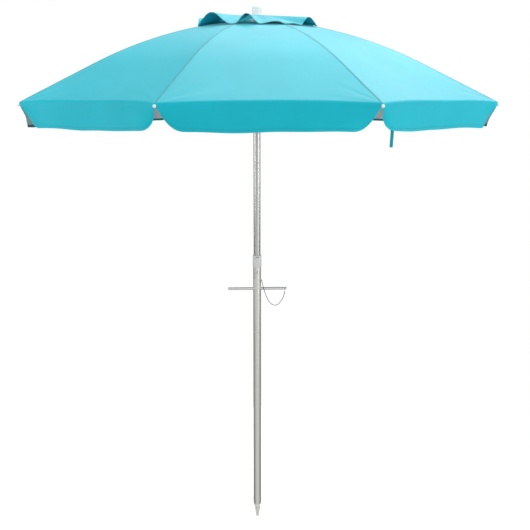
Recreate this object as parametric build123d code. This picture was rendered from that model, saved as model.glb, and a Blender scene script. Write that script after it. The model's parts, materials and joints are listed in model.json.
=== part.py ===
"""Beach umbrella: an eight-rib canopy with a vented top on a two-piece pole, which screws into sand.

The origin is the tip of the sand spike and +Z is up. Ribs stand at 22.5 degrees and every 45 degrees
from there, so a flat side of the canopy faces -Y. Every rib piece is drawn once along +X and turned.
"""

import math
import os

from build123d import *

# Overall heights above the spike's tip
RIM_HEIGHT = 1733.0
TIP_REACH = 950.0
FINIAL_TOP = 2114.0
FINIAL_BASE = 2078.0
FINIAL_RADIUS = 18.5
FINIAL_ROUND = 9.0
FINIAL_LOW_ROUND = 2.0
FINIAL_STEM = 5.9
FINIAL_STEM_GAP = 2.0

# Canopy: a straight slope up from the rim, then one long arc to the centre
RIBS = 8
HALF_STEP = 180.0 / RIBS
FIRST_RIB = HALF_STEP
CANOPY_SLOPE = 26.7
CANOPY_ARC = 1700.0
STRAIGHT_FROM = 670.0
EDGE_RISE = 6.2
EDGE_REACH = 944.0
FABRIC = 1.2
GORE_GAP = 1.0
VENT_REACH = 150.0
VALANCE_BOTTOM = 1648.0
VALANCE_CORNER = 80.0
VALANCE_END_GAP = 10.0

# Vent cap over the hole at the top
CAP_REACH = 250.0
CAP_HEM = 2031.0
CAP_TOP = 2077.6
CAP_FLAT_REACH = 20.0
CAP_HOLE = 9.0

# Closing strap, sewn inside the valance beside the front right rib
STRAP_WIDTH = 12.0
STRAP_THICKNESS = 1.0
STRAP_BOTTOM = 1596.0
STRAP_TOP = 1722.0
STRAP_FROM_CORNER = 90.0
STRAP_BEHIND = 20.0

# Ribs and stretchers
RIB_DROP = 7.0
RIB_RADIUS = 2.2
RIB_PIVOT_REACH = 22.0
RIB_EYE = 4.5
RIB_EYE_WIDTH = 4.8
BALL = 5.6
BALL_SOCKET = 4.0
BALL_SOCKET_LENGTH = 22.0
BRACKET_REACH = 428.0
BRACKET_DROP = 8.0
BRACKET_LENGTH = 18.0
BRACKET_SADDLE = 3.6
BRACKET_CLEARANCE = 0.3
LUG = 1.2
LUG_GAP = 4.8
LUG_ROUND = 4.0
RIVET = 1.2
STRETCHER_RADIUS = 1.8
STRETCHER_EYE = 4.0
STRETCHER_EYE_WIDTH = 4.2
EYE_CLEARANCE = 0.1
WIRE = 1.0
WIRE_CLEARANCE = 0.4

# Crown, which carries the ribs, and runner, which carries the stretchers
CROWN_RADIUS = 27.0
CROWN_BOTTOM = 2040.0
CROWN_SHOULDER = 2062.0
CROWN_NECK = 16.0
CROWN_TOP = 2076.0
CROWN_SLOT = 5.6
CROWN_SLOT_FROM = 16.7
CROWN_SLOT_TOP = 2056.5
CROWN_STEM_HOLE = 6.0
RUNNER_PIVOT_REACH = 25.0
RUNNER_PIVOT = 1790.0
RUNNER_BOTTOM = 1752.0
RUNNER_TOP = 1800.0
RUNNER_BORE = 14.35
RUNNER_SLEEVE = 19.5
RUNNER_FLANGE = 31.0
FLANGE_HALF = 6.0
RUNNER_SLOT = 5.2
KEYWAY_REACH = 18.2
KEYWAY_WIDTH = 12.0

# Pole tubes
LOWER_RADIUS = 16.0
UPPER_RADIUS = 14.0
WALL = 1.2
LOWER_BOTTOM = 58.0
LOWER_TOP = 1112.0
CRIMP_TOP = 72.0
CRIMP = 0.8
MID_BOTTOM = 995.0
MID_TOP = 1618.0
TOP_TUBE_BOTTOM = 1690.0
TOP_TUBE_TOP = 2060.0

# Collar on top of the lower tube
COLLAR_BOTTOM = 1076.0
COLLAR_TOP = 1122.0
COLLAR_LOW_RADIUS = 18.3
COLLAR_TOP_RADIUS = 17.6
COLLAR_BORE = 14.35
COLLAR_TONGUE_BOTTOM = 1056.5
COLLAR_TONGUE_WIDTH = 9.0
COLLAR_TONGUE_REACH = 17.8
COLLAR_TONGUE_ROUND = 3.6
COLLAR_CHAMFER = 1.5
COLLAR_SLOT = (12.0, 3.0)
COLLAR_SLOT_HEIGHT = 1114.5
COLLAR_SLOT_FLOOR = 16.6

# Snap button that holds the two poles together
SNAP_HEIGHT = 1051.0
SNAP_RADIUS = 4.0
SNAP_REACH = 17.5
SNAP_ROOT = 11.2
BUTTON_ROUND = 1.5
SNAP_HOLE = 4.5
SNAP_LEAF = (6.0, 0.8, 40.0)

# Tilt joint
TILT_HEIGHT = 1650.0
TILT_ROUND = 14.0
TILT_SHOULDER = 15.5
TILT_SLOT = 10.0
TILT_TONGUE = 9.6
TILT_PIN = 4.0
TILT_PIN_LENGTH = 27.0
PIN_CLEARANCE = 0.05
INSERT = 12.7
INSERT_LENGTH = 28.0
TILT_BUTTON = 4.5
TILT_BUTTON_HOLE = 4.9
TILT_BUTTON_HEIGHT = 1626.2
TILT_BUTTON_REACH = 17.0
TILT_BUTTON_ROOT = 8.0

# Spring catch under the runner
CATCH_TOP = 1750.5
CATCH_BOTTOM = 1735.0
CATCH_NOSE = 18.5
CATCH_LIP = 4.5
CATCH_ROOT = 10.0
CATCH_WIDTH = 6.0
CATCH_GAP = 0.6

# Screw spike
SPIKE_PLUG = 14.7
SPIKE_PLUG_TOP = 110.0
SPIKE_CORE = 10.5
SPIKE_TIP = 3.0
SPIKE_THREAD = 13.2
SPIKE_TURNS = 5
SPIKE_SCREW_TOP = 46.4
SPIKE_SHOULDER = 56.8
SPIKE_PLUG_CLEARANCE = 0.2
THREAD_ROOT = 1.5
THREAD_FIRST = 7.0
THREAD_OFFSET = 0.6
THREAD_CREST = 0.1
THREAD_FLANK = 0.4
SPIKE_RIVET_HEIGHT = 79.0
SPIKE_RIVET = 2.0
SPIKE_RIVET_HEAD = 3.5
SPIKE_RIVET_PROUD = 1.1
SPIKE_RIVET_LENGTH = 7.0

# Turning bar through the lower tube, with its keeper chain
BAR_HEIGHT = 983.0
BAR_RADIUS = 5.4
BAR_WALL = 1.2
BAR_LEFT = -117.0
BAR_RIGHT = 119.0
BAR_HOLE = 5.7
BAR_PLUG = 5.0
BAR_PLUG_HEAD = 2.0
LEFT_PLUG_DEPTH = 8.0
RIGHT_PLUG_DEPTH = 2.5
RING_AT = 113.0
RING_MAJOR = 9.0
RING_WIRE = 0.8
RING_HOLE = 2.8
EYE_ANGLE = -30.0
EYE_HEIGHT = 1021.0
EYE_FOOT = 3.2
EYE_REACH = 19.5
EYE_STUD_GAP = 1.5
EYE_LOOP = 2.2
CHAIN_DIAMETER = 3.0
CHAIN_BEND_SHARE = 0.45
CHAIN_ROUTE = [
    (18.6, -10.7, 1017.0),
    (23.0, -11.2, 996.0),
    (31.5, -11.0, 966.0),
    (44.0, -9.0, 935.0),
    (62.0, -6.5, 914.0),
    (84.0, -4.0, 913.0),
    (101.0, -2.0, 934.0),
    (109.5, -0.8, 951.0),
    (112.5, 0.0, 961.0),
]

LONG = 60.0
CUT_SPARE = 2.0
COS_HALF = math.cos(math.radians(HALF_STEP))
TAN_HALF = math.tan(math.radians(HALF_STEP))
STRAIGHT_HEIGHT = (
    RIM_HEIGHT + EDGE_RISE + (TIP_REACH - STRAIGHT_FROM) * math.tan(math.radians(CANOPY_SLOPE))
)
ARC_X = STRAIGHT_FROM - CANOPY_ARC * math.sin(math.radians(CANOPY_SLOPE))
ARC_Z = STRAIGHT_HEIGHT - CANOPY_ARC * math.cos(math.radians(CANOPY_SLOPE))


def canopy_height(reach, drop=0.0):
    """Height of the line that lies drop below the canopy's outside, at this reach along a rib."""
    slope = math.radians(CANOPY_SLOPE)
    if reach > ARC_X + (CANOPY_ARC - drop) * math.sin(slope):
        return STRAIGHT_HEIGHT - (reach - STRAIGHT_FROM) * math.tan(slope) - drop / math.cos(slope)
    return ARC_Z + math.sqrt((CANOPY_ARC - drop) ** 2 - (reach - ARC_X) ** 2)


def ray_height(reach):
    return canopy_height(reach, RIB_DROP)


def across(radius, length, place):
    """A cylinder along Y, which is a rib's hinge direction, centred at (x, z)."""
    return Pos(place[0], 0, place[1]) * Rot(90, 0, 0) * Cylinder(radius, length)


def along_x(radius, start, end, height):
    middle = (start + end) / 2
    return Pos(middle, 0, height) * Rot(0, 90, 0) * Cylinder(radius, end - start)


def upright(radius, bottom, top):
    return Pos(0, 0, (bottom + top) / 2) * Cylinder(radius, top - bottom)


def rod(radius, path):
    return sweep(Plane(path @ 0, z_dir=path % 0) * Circle(radius), path=path)


def spokes(piece, count=RIBS, first=FIRST_RIB):
    step = 360.0 / count
    return [Rot(0, 0, first + step * i) * piece for i in range(count)]


def save(node, shape):
    export_step(shape, f"parts/{node}.step")


# Pole


def lower_tube():
    bottom = LOWER_RADIUS - CRIMP
    with_crimp = Polyline(
        (bottom - WALL, 0, LOWER_BOTTOM),
        (bottom, 0, LOWER_BOTTOM),
        (LOWER_RADIUS, 0, CRIMP_TOP),
        (LOWER_RADIUS, 0, LOWER_TOP),
        (LOWER_RADIUS - WALL, 0, LOWER_TOP),
        (LOWER_RADIUS - WALL, 0, CRIMP_TOP),
        close=True,
    )
    tube = revolve(make_face(with_crimp), Axis.Z)
    tube -= along_x(BAR_HOLE, -LONG, LONG, BAR_HEIGHT)
    tube -= Pos(0, -LOWER_RADIUS, SNAP_HEIGHT) * Rot(90, 0, 0) * Cylinder(SNAP_HOLE, WALL * 6)
    tube -= along_x(SPIKE_RIVET, -LONG, LONG, SPIKE_RIVET_HEIGHT)
    return tube


def spike():
    """A tapered screw with a plug that fills the end of the tube."""
    core = make_face(
        Polyline(
            (0, 0, 0),
            (SPIKE_TIP, 0, 0),
            (SPIKE_CORE, 0, SPIKE_SCREW_TOP),
            (LOWER_RADIUS - CRIMP, 0, SPIKE_SHOULDER),
            (LOWER_RADIUS - CRIMP, 0, LOWER_BOTTOM),
            (0, 0, LOWER_BOTTOM),
            close=True,
        )
    )
    body = revolve(core, Axis.Z)
    pitch = SPIKE_SCREW_TOP / SPIKE_TURNS
    for turn in range(SPIKE_TURNS):
        share = (turn + THREAD_OFFSET) / SPIKE_TURNS
        outer = THREAD_FIRST + (SPIKE_THREAD - THREAD_FIRST) * share
        middle = pitch * (turn + THREAD_OFFSET)
        ridge = Polyline(
            (THREAD_ROOT, 0, middle - pitch * THREAD_FLANK),
            (outer, 0, middle - pitch * THREAD_CREST),
            (outer, 0, middle + pitch * THREAD_CREST),
            (THREAD_ROOT, 0, middle + pitch * THREAD_FLANK),
            close=True,
        )
        body += revolve(make_face(ridge), Axis.Z)
    body += upright(SPIKE_PLUG - CRIMP - SPIKE_PLUG_CLEARANCE, LOWER_BOTTOM, SPIKE_PLUG_TOP)
    return body - along_x(SPIKE_RIVET, -LONG, LONG, SPIKE_RIVET_HEIGHT)


def spike_rivets():
    inner = LOWER_RADIUS - SPIKE_RIVET_LENGTH
    shank = along_x(SPIKE_RIVET, inner, LOWER_RADIUS + SPIKE_RIVET_PROUD, SPIKE_RIVET_HEIGHT)
    head_end = LOWER_RADIUS + SPIKE_RIVET_PROUD
    head = along_x(SPIKE_RIVET_HEAD, LOWER_RADIUS - 1, head_end, SPIKE_RIVET_HEIGHT)
    head -= upright(LOWER_RADIUS, LOWER_BOTTOM, LOWER_TOP)
    rivet = head + shank
    return Compound([rivet, Rot(0, 0, 180) * rivet])


def collar():
    profile = Polyline(
        (LOWER_RADIUS, 0, COLLAR_BOTTOM),
        (COLLAR_LOW_RADIUS, 0, COLLAR_BOTTOM),
        (COLLAR_TOP_RADIUS, 0, COLLAR_TOP - COLLAR_CHAMFER),
        (COLLAR_TOP_RADIUS - COLLAR_CHAMFER, 0, COLLAR_TOP),
        (COLLAR_BORE, 0, COLLAR_TOP),
        (COLLAR_BORE, 0, LOWER_TOP),
        (LOWER_RADIUS, 0, LOWER_TOP),
        close=True,
    )
    ring = revolve(make_face(profile), Axis.Z)
    wide, tall = COLLAR_SLOT
    cut_depth = COLLAR_LOW_RADIUS - COLLAR_SLOT_FLOOR + CUT_SPARE
    slot = Pos(0, -COLLAR_SLOT_FLOOR - cut_depth / 2, COLLAR_SLOT_HEIGHT) * Box(wide, cut_depth, tall)
    height = COLLAR_BOTTOM - COLLAR_TONGUE_BOTTOM + CUT_SPARE
    place = Pos(0, -COLLAR_TONGUE_REACH / 2, COLLAR_TONGUE_BOTTOM + height / 2)
    tongue = place * Box(COLLAR_TONGUE_WIDTH, COLLAR_TONGUE_REACH, height)
    tongue = fillet(tongue.edges().filter_by(Axis.Y).sort_by(Axis.Z)[:2], COLLAR_TONGUE_ROUND)
    tongue -= upright(LOWER_RADIUS, LOWER_BOTTOM, LOWER_TOP)
    return ring + tongue - slot


def mid_tube():
    tube = upright(UPPER_RADIUS, MID_BOTTOM, MID_TOP) - upright(
        UPPER_RADIUS - WALL, MID_BOTTOM, MID_TOP
    )
    hole = Pos(0, -UPPER_RADIUS, SNAP_HEIGHT) * Rot(90, 0, 0) * Cylinder(SNAP_HOLE, WALL * 6)
    return tube - hole


def snap_button():
    """The button that stands through both tubes, on its leaf spring."""
    wide, thick, tall = SNAP_LEAF
    length = SNAP_REACH - SNAP_ROOT
    middle = (SNAP_ROOT + SNAP_REACH) / 2
    button = Pos(0, -middle, SNAP_HEIGHT) * Rot(90, 0, 0) * Cylinder(SNAP_RADIUS, length)
    button = fillet(button.edges().sort_by(Axis.Y)[:1], BUTTON_ROUND)
    leaf = Pos(0, -SNAP_ROOT, SNAP_HEIGHT - SNAP_RADIUS + tall / 2) * Box(wide, thick, tall)
    return button + leaf


def tilt_round(height):
    return Pos(0, 0, height) * Rot(0, 90, 0) * Cylinder(TILT_ROUND, LONG)


def tilt_yoke():
    """The lower half of the tilt joint: two cheeks on a plug in the lower of the two upper tubes."""
    shoulder = TILT_HEIGHT - TILT_SHOULDER
    plug = upright(INSERT, MID_TOP - INSERT_LENGTH, MID_TOP)
    block = upright(UPPER_RADIUS, MID_TOP, TILT_HEIGHT)
    block += upright(UPPER_RADIUS, TILT_HEIGHT, TILT_HEIGHT + TILT_ROUND) & tilt_round(TILT_HEIGHT)
    slot_middle = shoulder + LONG / 2
    block -= Pos(0, 0, slot_middle) * Box(TILT_SLOT, LONG, LONG)
    block -= along_x(TILT_PIN, -LONG, LONG, TILT_HEIGHT)
    button_hole = Pos(0, UPPER_RADIUS, TILT_BUTTON_HEIGHT) * Rot(90, 0, 0) * Cylinder(
        TILT_BUTTON_HOLE, 2 * (UPPER_RADIUS - 3)
    )
    return plug + block - button_hole


def tilt_pin():
    return along_x(TILT_PIN, -TILT_PIN_LENGTH / 2, TILT_PIN_LENGTH / 2, TILT_HEIGHT)


def tilt_tongue():
    """The upper half of the tilt joint, plugged into the top tube."""
    shoulder = TILT_HEIGHT + TILT_SHOULDER
    plate = upright(UPPER_RADIUS, TILT_HEIGHT, shoulder)
    plate += upright(UPPER_RADIUS, TILT_HEIGHT - TILT_ROUND, TILT_HEIGHT) & tilt_round(TILT_HEIGHT)
    plate &= Pos(0, 0, TILT_HEIGHT) * Box(TILT_TONGUE, LONG, LONG)
    body = plate + upright(UPPER_RADIUS, shoulder, TOP_TUBE_BOTTOM)
    body += upright(INSERT, TOP_TUBE_BOTTOM, TOP_TUBE_BOTTOM + INSERT_LENGTH)
    return body - along_x(TILT_PIN + PIN_CLEARANCE, -LONG, LONG, TILT_HEIGHT)


def tilt_button():
    middle = (TILT_BUTTON_ROOT + TILT_BUTTON_REACH) / 2
    length = TILT_BUTTON_REACH - TILT_BUTTON_ROOT
    button = Pos(0, middle, TILT_BUTTON_HEIGHT) * Rot(90, 0, 0) * Cylinder(TILT_BUTTON, length)
    return fillet(button.edges().sort_by(Axis.Y)[-1:], BUTTON_ROUND)


def top_tube():
    tube = upright(UPPER_RADIUS, TOP_TUBE_BOTTOM, TOP_TUBE_TOP) - upright(
        UPPER_RADIUS - WALL, TOP_TUBE_BOTTOM, TOP_TUBE_TOP
    )
    tall = CATCH_TOP - CATCH_BOTTOM + 2 * CATCH_GAP
    middle = (CATCH_TOP + CATCH_BOTTOM) / 2
    slot = Pos(UPPER_RADIUS, 0, middle) * Box(4 * WALL, CATCH_WIDTH + 2 * CATCH_GAP, tall)
    return tube - slot


def runner_catch():
    """A sprung wedge: flat on top, where the runner rests, and sloped below, where it rides over."""
    side = Polyline(
        (CATCH_ROOT, 0, CATCH_BOTTOM),
        (UPPER_RADIUS - WALL, 0, CATCH_BOTTOM),
        (CATCH_NOSE, 0, CATCH_TOP - CATCH_LIP),
        (CATCH_NOSE, 0, CATCH_TOP),
        (CATCH_ROOT, 0, CATCH_TOP),
        close=True,
    )
    return extrude(make_face(side), CATCH_WIDTH / 2, both=True)


# Turning bar and chain


def t_bar():
    bar = along_x(BAR_RADIUS, BAR_LEFT, BAR_RIGHT, BAR_HEIGHT)
    bar -= along_x(BAR_RADIUS - BAR_WALL, BAR_LEFT, BAR_RIGHT, BAR_HEIGHT)
    return bar - across(RING_HOLE, LONG, (RING_AT, BAR_HEIGHT))


def t_bar_plugs():
    """A plastic plug in each end of the turning bar."""
    bore = BAR_RADIUS - BAR_WALL
    left = along_x(bore, BAR_LEFT, BAR_LEFT + LEFT_PLUG_DEPTH, BAR_HEIGHT)
    left += along_x(BAR_PLUG, BAR_LEFT - BAR_PLUG_HEAD, BAR_LEFT, BAR_HEIGHT)
    right = along_x(bore, BAR_RIGHT - RIGHT_PLUG_DEPTH, BAR_RIGHT, BAR_HEIGHT)
    right += along_x(BAR_PLUG, BAR_RIGHT, BAR_RIGHT + BAR_PLUG_HEAD, BAR_HEIGHT)
    return Compound([left, right])


def t_bar_ring():
    place = Pos(RING_AT, 0, BAR_HEIGHT - RING_MAJOR) * Rot(0, 90, 0)
    return place * Torus(RING_MAJOR, RING_WIRE)


def chain_eye():
    """A riveted stud on the lower tube with a small ring that the chain hangs from."""
    stud = along_x(EYE_FOOT, LOWER_RADIUS - WALL, EYE_REACH - EYE_STUD_GAP, EYE_HEIGHT)
    stud -= upright(LOWER_RADIUS, LOWER_BOTTOM, LOWER_TOP)
    loop = Pos(EYE_REACH, 0, EYE_HEIGHT) * Rot(90, 0, 0) * Torus(EYE_LOOP, RING_WIRE)
    return Rot(0, 0, EYE_ANGLE) * (stud + loop)


def chain():
    """The keeper chain's path: straight runs joined by arcs as large as the runs allow."""
    points = [Vector(*p) for p in CHAIN_ROUTE]
    runs = [b - a for a, b in zip(points, points[1:])]
    radii = []
    for before, after in zip(runs, runs[1:]):
        turn = math.radians(before.get_angle(after))
        radii.append(CHAIN_BEND_SHARE * min(before.length, after.length) / math.tan(turn / 2))
    path = FilletPolyline(*points, radius=radii)
    solid = rod(CHAIN_DIAMETER / 2, path)
    expected = math.pi * (CHAIN_DIAMETER / 2) ** 2 * path.length
    print("chain radii", [round(r, 1) for r in radii])
    print("chain length", round(path.length, 1), "volume share", round(solid.volume / expected, 4))
    return solid


# Crown, runner and finial


def crown():
    body = upright(CROWN_RADIUS, CROWN_BOTTOM, CROWN_SHOULDER)
    body += upright(CROWN_NECK, CROWN_SHOULDER, CROWN_TOP)
    body -= upright(UPPER_RADIUS, CROWN_BOTTOM, TOP_TUBE_TOP)
    body -= upright(CROWN_STEM_HOLE, TOP_TUBE_TOP, CROWN_TOP)
    depth = CROWN_RADIUS + CUT_SPARE - CROWN_SLOT_FROM
    tall = CROWN_SLOT_TOP - CROWN_BOTTOM + 2
    slot = Pos(CROWN_SLOT_FROM + depth / 2, 0, CROWN_SLOT_TOP - tall / 2) * Box(
        depth, CROWN_SLOT, tall
    )
    for cut in spokes(slot):
        body -= cut
    return body - Pos(0, 0, ray_height(RIB_PIVOT_REACH)) * Torus(RIB_PIVOT_REACH, WIRE)


def crown_wire():
    return Pos(0, 0, ray_height(RIB_PIVOT_REACH)) * Torus(RIB_PIVOT_REACH, WIRE)


def finial():
    knob = upright(FINIAL_RADIUS, FINIAL_BASE, FINIAL_TOP)
    knob = fillet(knob.edges().sort_by(Axis.Z)[-1:], FINIAL_ROUND)
    knob = fillet(knob.edges().sort_by(Axis.Z)[:1], FINIAL_LOW_ROUND)
    return knob + upright(FINIAL_STEM, TOP_TUBE_TOP + FINIAL_STEM_GAP, FINIAL_BASE)


def runner():
    """The sleeve that slides on the pole, with a slotted flange for the stretchers."""
    body = upright(RUNNER_SLEEVE, RUNNER_BOTTOM, RUNNER_TOP)
    body += upright(RUNNER_FLANGE, RUNNER_PIVOT - FLANGE_HALF, RUNNER_PIVOT + FLANGE_HALF)
    body -= upright(RUNNER_BORE, RUNNER_BOTTOM, RUNNER_TOP)
    depth = RUNNER_FLANGE + CUT_SPARE - RUNNER_SLEEVE
    slot = Pos(RUNNER_SLEEVE + depth / 2, 0, RUNNER_PIVOT) * Box(depth, RUNNER_SLOT, 3 * FLANGE_HALF)
    for cut in spokes(slot):
        body -= cut
    tall = RUNNER_TOP - RUNNER_BOTTOM
    keyway = Pos(0, KEYWAY_REACH / 2, (RUNNER_TOP + RUNNER_BOTTOM) / 2) * Box(
        KEYWAY_WIDTH, KEYWAY_REACH, tall
    )
    return body - keyway


# Ribs and stretchers, drawn along +X


def rib_path():
    """The line down the middle of a rib, from its crown pivot to its tip."""
    radius = CANOPY_ARC - RIB_DROP
    slope = math.radians(CANOPY_SLOPE)
    start = math.asin((RIB_PIVOT_REACH - ARC_X) / radius)
    places = []
    for angle in (start, (start + slope) / 2, slope):
        places.append((ARC_X + radius * math.sin(angle), 0, ARC_Z + radius * math.cos(angle)))
    bow = ThreePointArc(*places)
    straight = Line(places[-1], (TIP_REACH, 0, ray_height(TIP_REACH)))
    return Wire([bow.edge(), straight.edge()])


def crown_pivot():
    return (RIB_PIVOT_REACH, ray_height(RIB_PIVOT_REACH))


def bracket_pivot():
    place = (on_rib(BRACKET_REACH) * Pos(0, 0, -BRACKET_DROP)).position
    return (place.X, place.Z)


def runner_pivot():
    return (RUNNER_PIVOT_REACH, RUNNER_PIVOT)


def rib():
    shape = rod(RIB_RADIUS, rib_path())
    shape += across(RIB_EYE, RIB_EYE_WIDTH, crown_pivot())
    return shape - across(WIRE + WIRE_CLEARANCE, LONG, crown_pivot())


def straight_rod(radius, start, end):
    return rod(radius, Wire([Line((start[0], 0, start[1]), (end[0], 0, end[1])).edge()]))


def on_rib(reach):
    """The frame of a rib at this reach: X runs out along it and Z is its outward normal."""
    slope = min(math.degrees(math.asin((reach - ARC_X) / (CANOPY_ARC - RIB_DROP))), CANOPY_SLOPE)
    return Pos(reach, 0, ray_height(reach)) * Rot(0, slope, 0)


def bracket():
    """A saddle on the rib with two lugs, and the rivet that the stretcher turns on."""
    shape = Box(BRACKET_LENGTH, 2 * BRACKET_SADDLE, 2 * BRACKET_SADDLE)
    for side in (-1, 1):
        lug = across(LUG_ROUND, LUG, (0, -BRACKET_DROP))
        lug += Pos(0, 0, -BRACKET_DROP / 2) * Box(2 * LUG_ROUND, LUG, BRACKET_DROP)
        shape += Pos(0, side * (LUG_GAP + LUG) / 2, 0) * lug
    shape -= along_x(RIB_RADIUS + BRACKET_CLEARANCE, -LONG, LONG, 0)
    shape += across(RIVET, LUG_GAP + 2 * LUG + 1, (0, -BRACKET_DROP))
    return on_rib(BRACKET_REACH) * shape


def ball():
    """The ball on a rib's tip, with the socket that it is pushed on by."""
    neck = -math.sqrt(BALL**2 - BALL_SOCKET**2)
    start = -BALL_SOCKET_LENGTH
    outside = [
        Line((start, 0, RIB_RADIUS), (start, 0, BALL_SOCKET)),
        Line((start, 0, BALL_SOCKET), (neck, 0, BALL_SOCKET)),
        ThreePointArc((neck, 0, BALL_SOCKET), (0, 0, BALL), (BALL, 0, 0)),
        Line((BALL, 0, 0), (0, 0, 0)),
        Line((0, 0, 0), (0, 0, RIB_RADIUS)),
        Line((0, 0, RIB_RADIUS), (start, 0, RIB_RADIUS)),
    ]
    profile = make_face(Wire.combine([line.edge() for line in outside])[0])
    return on_rib(TIP_REACH) * revolve(profile, Axis.X)


def rib_fittings():
    return Compound([bracket().solid(), ball().solid()])


def stretcher():
    shape = straight_rod(STRETCHER_RADIUS, bracket_pivot(), runner_pivot())
    shape += across(STRETCHER_EYE, STRETCHER_EYE_WIDTH, bracket_pivot())
    shape += across(STRETCHER_EYE, STRETCHER_EYE_WIDTH, runner_pivot())
    shape -= across(RIVET + EYE_CLEARANCE, LONG, bracket_pivot())
    return shape - across(WIRE + WIRE_CLEARANCE, LONG, runner_pivot())


# Fabric, drawn about the middle of one side of the canopy, which is +X here


def wedge(far, gap):
    """The slice from a side's middle line, less half a gap, out to the rib at -22.5 degrees."""
    near = gap / TAN_HALF
    outline = Polyline((near, -gap), (far, -gap), (far, -far * TAN_HALF), close=True)
    return Pos(0, 0, VALANCE_BOTTOM - LONG) * extrude(make_face(outline), FINIAL_TOP)


def band(points, arc_to=None):
    """A sheet of the fabric's thickness under a line of (x, z) points and, after them, an arc."""
    upper = [Line((a[0], 0, a[1]), (b[0], 0, b[1])).edge() for a, b in zip(points, points[1:])]
    if arc_to:
        three = [(x, 0, z) for x, z in (points[-1], *arc_to)]
        upper.append(ThreePointArc(*three).edge())
    lower = [edge.moved(Location((0, 0, -FABRIC))) for edge in upper]
    first, last = upper[0] @ 0, upper[-1] @ 1
    drop = Vector(0, 0, -FABRIC)
    ends = [Edge.make_line(first, first + drop), Edge.make_line(last, last + drop)]
    return extrude(make_face(Wire.combine(upper + lower + ends)[0]), TIP_REACH / 2, both=True)


def side_point(reach):
    return (reach * COS_HALF, canopy_height(reach))


def half_gore():
    """Half of a side of the canopy, from its middle line to the rib, with its valance."""
    turn = (STRAIGHT_FROM + VENT_REACH) / 2
    edge = side_point(EDGE_REACH)
    sheet = band([edge, side_point(STRAIGHT_FROM)], (side_point(turn), side_point(VENT_REACH)))
    sheet &= wedge(TIP_REACH + LONG, GORE_GAP / 2)
    long = EDGE_REACH * COS_HALF * TAN_HALF - VALANCE_END_GAP
    tall = edge[1] - FABRIC / 2 - VALANCE_BOTTOM
    valance = Pos(edge[0] - FABRIC / 2, -(long + GORE_GAP / 2) / 2, VALANCE_BOTTOM + tall / 2) * Box(
        FABRIC, long - GORE_GAP / 2, tall
    )
    corner = valance.edges().filter_by(Axis.X).group_by(Axis.Z)[0].sort_by(Axis.Y)[:1]
    valance = fillet(corner, VALANCE_CORNER)
    return sheet + valance


def gore():
    """The two half sides beside one rib, drawn about the rib along +X."""
    half = Rot(0, 0, HALF_STEP) * half_gore()
    return half + mirror(half, about=Plane.XZ)


def vent_cap():
    """The cap over the vent: eight flat-topped sides with a hole for the finial's stem."""
    line = [(CAP_REACH, CAP_HEM), (CAP_FLAT_REACH, CAP_TOP), (CAP_HOLE, CAP_TOP)]
    half = band([(reach * COS_HALF, height) for reach, height in line]) & wedge(CAP_REACH, 0)
    side = half + mirror(half, about=Plane.XZ)
    cap = side
    for turned in spokes(side, first=360.0 / RIBS)[:-1]:
        cap += turned
    return cap


def closing_strap():
    """A strap that hangs inside the valance, beside the rib at the front right."""
    along = EDGE_REACH * COS_HALF * TAN_HALF - STRAP_FROM_CORNER
    depth = EDGE_REACH * COS_HALF - FABRIC - STRAP_BEHIND
    strap = Pos(depth, -along, (STRAP_BOTTOM + STRAP_TOP) / 2) * Box(
        STRAP_THICKNESS, STRAP_WIDTH, STRAP_TOP - STRAP_BOTTOM
    )
    return Rot(0, 0, -360.0 / RIBS) * strap


def main():
    os.makedirs("parts", exist_ok=True)
    single = [lower_tube, spike, spike_rivets, collar, mid_tube, snap_button, tilt_yoke, tilt_pin]
    single += [tilt_tongue, tilt_button, top_tube, runner_catch, t_bar, t_bar_plugs, t_bar_ring]
    single += [chain_eye, chain, crown, crown_wire, finial, runner, vent_cap, closing_strap]
    for make in single:
        save(make.__name__, make())
    for make in (rib, rib_fittings, stretcher, gore):
        for number, turned in enumerate(spokes(make())):
            save(f"{make.__name__}_{number}", turned)
    for name, place in (
        ("crown pivot", crown_pivot()),
        ("bracket pivot", bracket_pivot()),
        ("runner pivot", runner_pivot()),
    ):
        print(name, [round(v, 2) for v in place])


main()
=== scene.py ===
"""Beach umbrella: the fabric, chain, spike and finishes that stand round the CAD frame.

Everything is in metres in the frame's own axes: the spike's tip is the origin and +Z runs up the pole.
"""

import json
import math

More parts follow.
